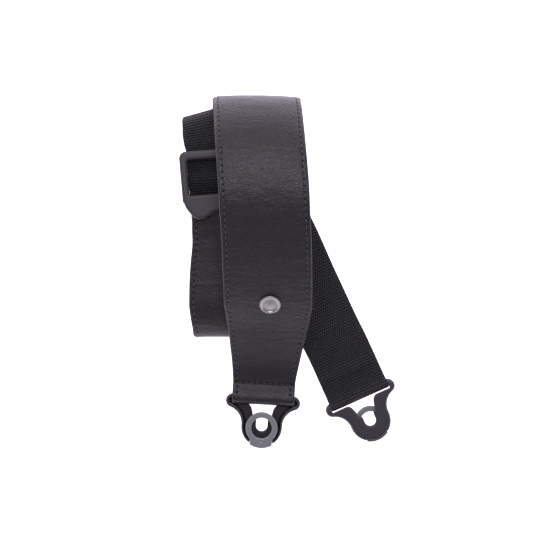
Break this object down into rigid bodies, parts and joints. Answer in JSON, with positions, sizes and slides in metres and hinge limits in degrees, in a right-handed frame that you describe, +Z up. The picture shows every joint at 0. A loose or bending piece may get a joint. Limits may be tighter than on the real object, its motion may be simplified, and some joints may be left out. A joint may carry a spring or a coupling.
{
  "type": "guitar strap",
  "caption": "Folded black leather and webbing guitar strap with a hinged locking button connector at each end and a tilting moulded length adjuster.",
  "frame": {"origin": "on the surface the strap lies on, under the middle of the folded strap's box", "axes": "+Z up from the surface, +Y from the two connectors towards the rolled end, +X from the adjuster side towards the free connector"},
  "size_m": [0.1716, 0.2824, 0.0776],
  "materials": {
    "face_leather": "smooth satin, fine grain",
    "lining_leather": "soft suede side",
    "rivet_metal": "antique nickel plating",
    "thread": "bonded polyester thread",
    "webbing": "ribbed woven webbing",
    "frame_plastic": "fine satin moulding",
    "body_plastic": "satin moulding",
    "ring_plastic": "satin grey moulding",
    "pin_steel": "bright steel wire"
  },
  "bodies": {
    "strap": {"face_leather": "face_leather", "lining_leather": "lining_leather", "rivet_cap": "rivet_metal", "rivet_post": "rivet_metal", "webbing_strap": "webbing", "webbing_adjuster_run": "webbing", "front_loop_stitching": "thread", "adjuster_loop_stitching": "thread", "rear_loop_stitching": "thread", "tail_hem_stitching": "thread"},
    "front_connector": {"front_connector_body": "body_plastic", "front_latch_pin": "pin_steel", "front_latch_spring": "pin_steel"},
    "front_latch": {"front_latch_ring": "ring_plastic"},
    "rear_connector": {"rear_connector_body": "body_plastic", "rear_latch_pin": "pin_steel", "rear_latch_spring": "pin_steel"},
    "rear_latch": {"rear_latch_ring": "ring_plastic"},
    "adjuster": {"adjuster_frame": "frame_plastic"}
  },
  "joints": [
    {"name": "front_connector_swing", "type": "hinge", "parent": "strap", "child": "front_connector", "pos_m": [-0.02041, -0.10083, 0.00405], "axis": [-0.9983, 0.0576, 0], "range_deg": [0, 100], "deforming": ["face_leather"]},
    {"name": "front_latch_open", "type": "hinge", "parent": "front_connector", "child": "front_latch", "pos_m": [-0.02243, -0.13577, 0.00535], "axis": [0.9983, -0.0576, 0], "range_deg": [0, 22], "stiffness_Nm_per_rad": 0.05, "springref_deg": -9.74, "deforming": ["front_latch_spring"]},
    {"name": "rear_connector_swing", "type": "hinge", "parent": "strap", "child": "rear_connector", "pos_m": [0.05654, -0.09793, 0.00395], "axis": [-0.9135, -0.4067, 0], "range_deg": [0, 100], "deforming": ["webbing_strap"]},
    {"name": "rear_latch_open", "type": "hinge", "parent": "rear_connector", "child": "rear_latch", "pos_m": [0.07078, -0.1299, 0.00265], "axis": [-0.9135, -0.4067, 0], "range_deg": [0, 22], "stiffness_Nm_per_rad": 0.05, "springref_deg": -9.74, "deforming": ["rear_latch_spring"]},
    {"name": "adjuster_tilt", "type": "hinge", "parent": "strap", "child": "adjuster", "pos_m": [-0.05231, 0.05817, 0.0334], "axis": [0.9972, 0.075, 0], "range_deg": [0, 10], "deforming": ["webbing_adjuster_run", "tail_hem_stitching"]}
  ]
}
